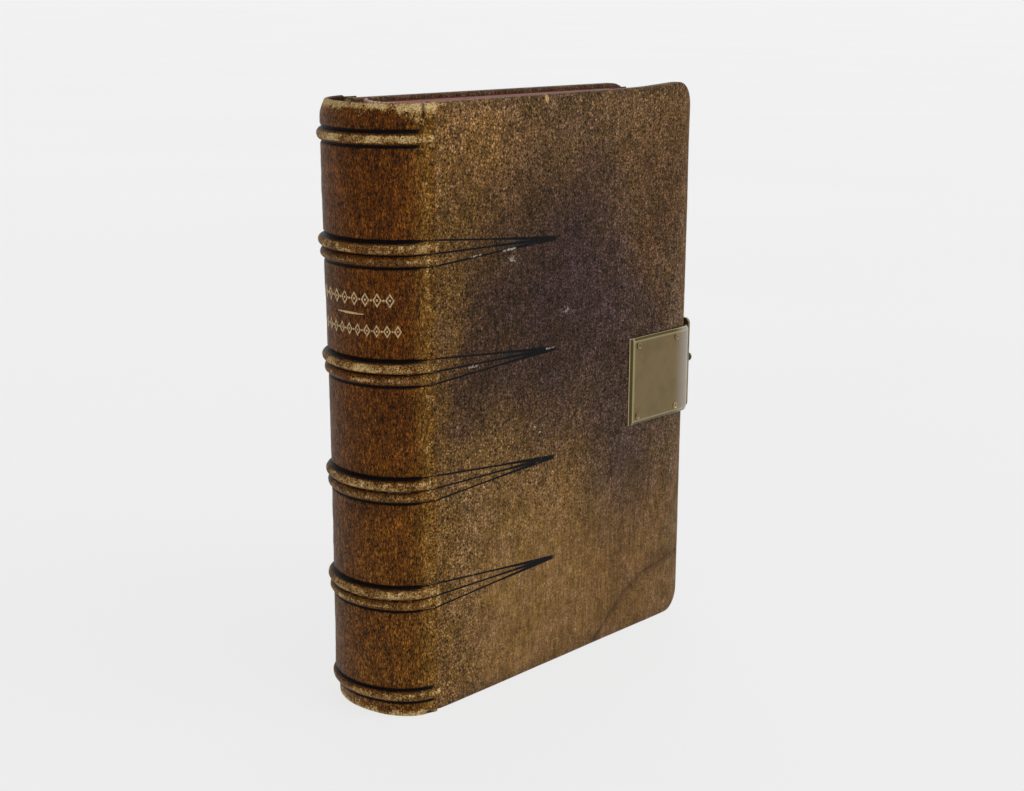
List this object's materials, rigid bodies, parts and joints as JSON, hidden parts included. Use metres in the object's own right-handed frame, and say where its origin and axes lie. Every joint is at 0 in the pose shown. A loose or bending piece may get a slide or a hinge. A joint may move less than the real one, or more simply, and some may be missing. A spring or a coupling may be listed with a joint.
{
  "type": "clasped prayer book",
  "caption": "Small antique prayer book in full grained leather over boards, with a rounded spine, raised bands, hollow back and a brass strap clasp, standing closed.",
  "frame": {"origin": "middle of the footprint, on the surface that the book stands on", "axes": "+Z from tail to head, +X from the spine to the fore-edge, the front cover faces -Y"},
  "size_m": [0.1296, 0.0362, 0.165],
  "materials": {
    "spine_leather": "polished grained morocco, worn to tan on the bands and joints",
    "cover_leather": "satin grained morocco with dark stains",
    "back_leather": "satin grained morocco",
    "board": "rough grey board",
    "endpaper": "matte maroon paper",
    "page_paper": "aged thin paper, edges stained red and gilt",
    "spine_linen": "open cotton mull and linen tape, glued",
    "endband_silk": "ribbed silk",
    "clasp_brass": "dull, aged olive brass",
    "dark_brass": "tarnished brass"
  },
  "bodies": {
    "root": {"spine_leather": "spine_leather", "spine_hollow_card": "board", "spine_lining": "spine_linen", "raised_band_1": "board", "raised_band_2": "board", "raised_band_3": "board", "raised_band_4": "board", "tail_fillet": "board", "head_fillet": "board", "sewing_tape_1": "spine_linen", "sewing_tape_2": "spine_linen", "sewing_tape_3": "spine_linen", "sewing_tape_4": "spine_linen", "head_endband": "endband_silk", "tail_endband": "endband_silk", "section_04": "page_paper", "section_05": "page_paper", "section_06": "page_paper", "section_07": "page_paper", "section_08": "page_paper", "section_09": "page_paper"},
    "front_cover": {"front_leather": "cover_leather", "front_board": "board", "front_pastedown": "endpaper", "front_clasp_plate": "clasp_brass", "front_clasp_pin_1": "dark_brass", "front_clasp_pin_2": "dark_brass", "front_clasp_pin_3": "dark_brass", "front_clasp_pin_4": "dark_brass"},
    "back_cover": {"back_leather": "back_leather", "back_board": "board", "back_pastedown": "endpaper", "back_clasp_plate": "clasp_brass", "clasp_hinge_pin": "dark_brass", "back_clasp_pin_1": "dark_brass", "back_clasp_pin_2": "dark_brass", "back_clasp_pin_3": "dark_brass", "back_clasp_pin_4": "dark_brass"},
    "clasp": {"clasp_strap": "clasp_brass", "clasp_knob": "dark_brass"},
    "front_flyleaf": {"front_flyleaf": "page_paper"},
    "front_leaves_1": {"section_01": "page_paper"},
    "front_leaves_2": {"section_02": "page_paper"},
    "front_leaves_3": {"section_03": "page_paper"},
    "back_flyleaf": {"back_flyleaf": "page_paper"},
    "back_leaves_1": {"section_12": "page_paper"},
    "back_leaves_2": {"section_11": "page_paper"},
    "back_leaves_3": {"section_10": "page_paper"}
  },
  "joints": [
    {"name": "front_cover_hinge", "type": "hinge", "parent": "root", "child": "front_cover", "pos_m": [-0.04908, -0.0179, 0.0825], "axis": [0, 0, -1], "range_deg": [0, 170]},
    {"name": "front_flyleaf_turn", "type": "hinge", "parent": "root", "child": "front_flyleaf", "pos_m": [-0.04908, -0.0179, 0.0825], "axis": [0, 0, -1], "range_deg": [0, 154]},
    {"name": "front_leaves_1_turn", "type": "hinge", "parent": "root", "child": "front_leaves_1", "pos_m": [-0.04908, -0.0179, 0.0825], "axis": [0, 0, -1], "range_deg": [0, 128.5]},
    {"name": "front_leaves_2_turn", "type": "hinge", "parent": "root", "child": "front_leaves_2", "pos_m": [-0.04908, -0.0179, 0.0825], "axis": [0, 0, -1], "range_deg": [0, 94.5]},
    {"name": "front_leaves_3_turn", "type": "hinge", "parent": "root", "child": "front_leaves_3", "pos_m": [-0.04908, -0.0179, 0.0825], "axis": [0, 0, -1], "range_deg": [0, 52]},
    {"name": "back_cover_hinge", "type": "hinge", "parent": "root", "child": "back_cover", "pos_m": [-0.04908, 0.0179, 0.0825], "axis": [0, 0, 1], "range_deg": [0, 170]},
    {"name": "back_flyleaf_turn", "type": "hinge", "parent": "root", "child": "back_flyleaf", "pos_m": [-0.04908, 0.0179, 0.0825], "axis": [0, 0, 1], "range_deg": [0, 154]},
    {"name": "back_leaves_1_turn", "type": "hinge", "parent": "root", "child": "back_leaves_1", "pos_m": [-0.04908, 0.0179, 0.0825], "axis": [0, 0, 1], "range_deg": [0, 128.5]},
    {"name": "back_leaves_2_turn", "type": "hinge", "parent": "root", "child": "back_leaves_2", "pos_m": [-0.04908, 0.0179, 0.0825], "axis": [0, 0, 1], "range_deg": [0, 94.5]},
    {"name": "back_leaves_3_turn", "type": "hinge", "parent": "root", "child": "back_leaves_3", "pos_m": [-0.04908, 0.0179, 0.0825], "axis": [0, 0, 1], "range_deg": [0, 52]},
    {"name": "clasp_hinge", "type": "hinge", "parent": "back_cover", "child": "clasp", "pos_m": [0.06258, 0.0129, 0.0797], "axis": [0, 0, 1], "range_deg": [0, 175]}
  ],
  "couplings": [
    {"joint": "front_flyleaf_turn", "follows": "front_cover_hinge", "ratio": 0.9},
    {"joint": "front_leaves_1_turn", "follows": "front_cover_hinge", "ratio": 0.75},
    {"joint": "front_leaves_2_turn", "follows": "front_cover_hinge", "ratio": 0.55},
    {"joint": "front_leaves_3_turn", "follows": "front_cover_hinge", "ratio": 0.3},
    {"joint": "back_flyleaf_turn", "follows": "back_cover_hinge", "ratio": 0.9},
    {"joint": "back_leaves_1_turn", "follows": "back_cover_hinge", "ratio": 0.75},
    {"joint": "back_leaves_2_turn", "follows": "back_cover_hinge", "ratio": 0.55},
    {"joint": "back_leaves_3_turn", "follows": "back_cover_hinge", "ratio": 0.3}
  ]
}
